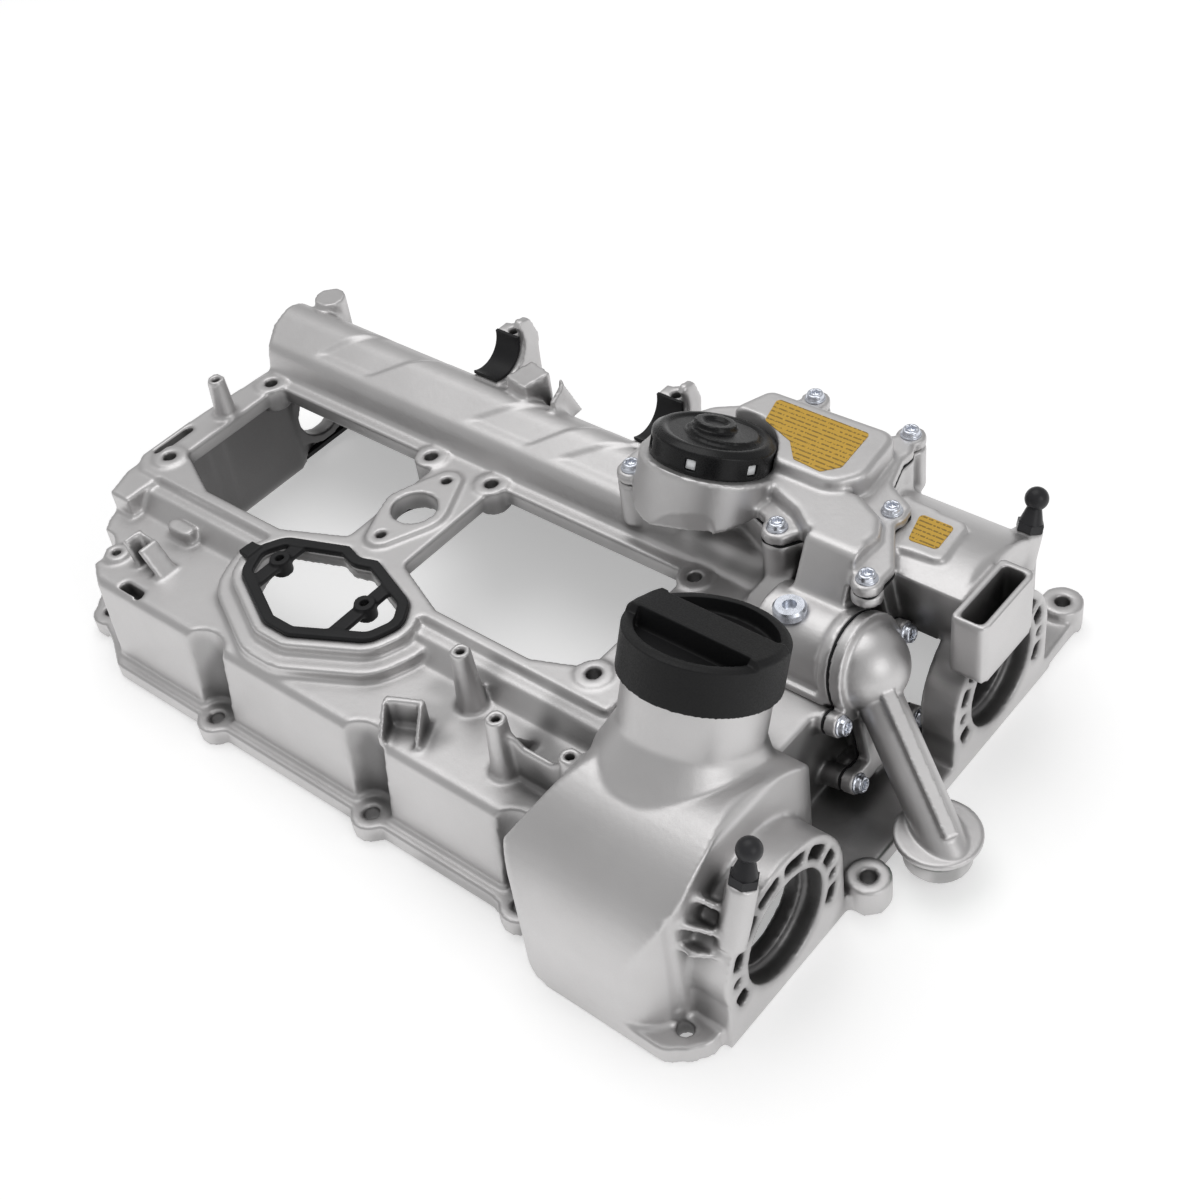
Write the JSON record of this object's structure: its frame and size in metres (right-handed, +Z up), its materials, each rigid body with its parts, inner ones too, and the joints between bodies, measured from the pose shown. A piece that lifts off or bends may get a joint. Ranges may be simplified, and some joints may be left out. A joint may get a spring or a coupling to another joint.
{
  "type": "engine valve cover",
  "caption": "Cast aluminium valve cover of an inline engine with oil filler cap, crankcase ventilation housing, pressure regulator and breather outlet.",
  "frame": {"origin": "on the plane of the sealing face, under the centre of the bounding box", "axes": "+X towards the timing end with the two cam bores, +Y across the engine towards the gallery with the ventilation housing, +Z up from the sealing face"},
  "size_m": [0.4428, 0.2924, 0.1411],
  "materials": {
    "cast_aluminium": "satin die-cast skin, machined where it seals",
    "gasket_rubber": "matt",
    "black_rubber": "matt moulded",
    "black_plastic": "fine spark-eroded grain",
    "satin_black_plastic": "satin",
    "sheet_steel": "plain rolled",
    "spring_steel": "bright",
    "zinc_steel": "bright zinc plate, faintly blue",
    "black_steel": "black phosphate",
    "green_rubber": "smooth",
    "yellow_label": "printed film"
  },
  "bodies": {
    "cover": {"cover_casting": "cast_aluminium", "perimeter_gasket": "gasket_rubber", "rail_gasket": "gasket_rubber", "centre_seal": "black_rubber", "ventilation_housing": "cast_aluminium", "housing_gasket": "gasket_rubber", "separator_baffle": "sheet_steel", "regulator_cap": "satin_black_plastic", "regulator_diaphragm": "black_rubber", "regulator_spring": "spring_steel", "duct_plug": "zinc_steel", "outlet_pipe": "cast_aluminium", "outlet_gasket": "gasket_rubber", "outlet_seal_ring": "green_rubber", "ball_stud_near": "black_steel", "ball_stud_far": "black_steel", "line_clip_rear": "black_rubber", "line_clip_front": "black_rubber", "label_large": "yellow_label", "label_small": "yellow_label", "housing_screws": "zinc_steel", "outlet_screws": "zinc_steel"},
    "cap": {"oil_filler_cap": "black_plastic", "filler_cap_seal": "black_rubber"},
    "plate": {"regulator_plate": "black_plastic"}
  },
  "joints": [
    {"name": "cap_turn", "type": "hinge", "parent": "cover", "child": "cap", "pos_m": [0.1306, -0.08829, 0.033], "axis": [0, 0.3584, 0.9336], "range_deg": [0, 90]},
    {"name": "regulator_stroke", "type": "slide", "parent": "cover", "child": "plate", "axis": [0, 0.3907, 0.9205], "range_m": [-0.003, 0], "stiffness_N_per_m": 300, "springref_m": 0.001, "deforming": ["regulator_spring", "regulator_diaphragm"]}
  ]
}
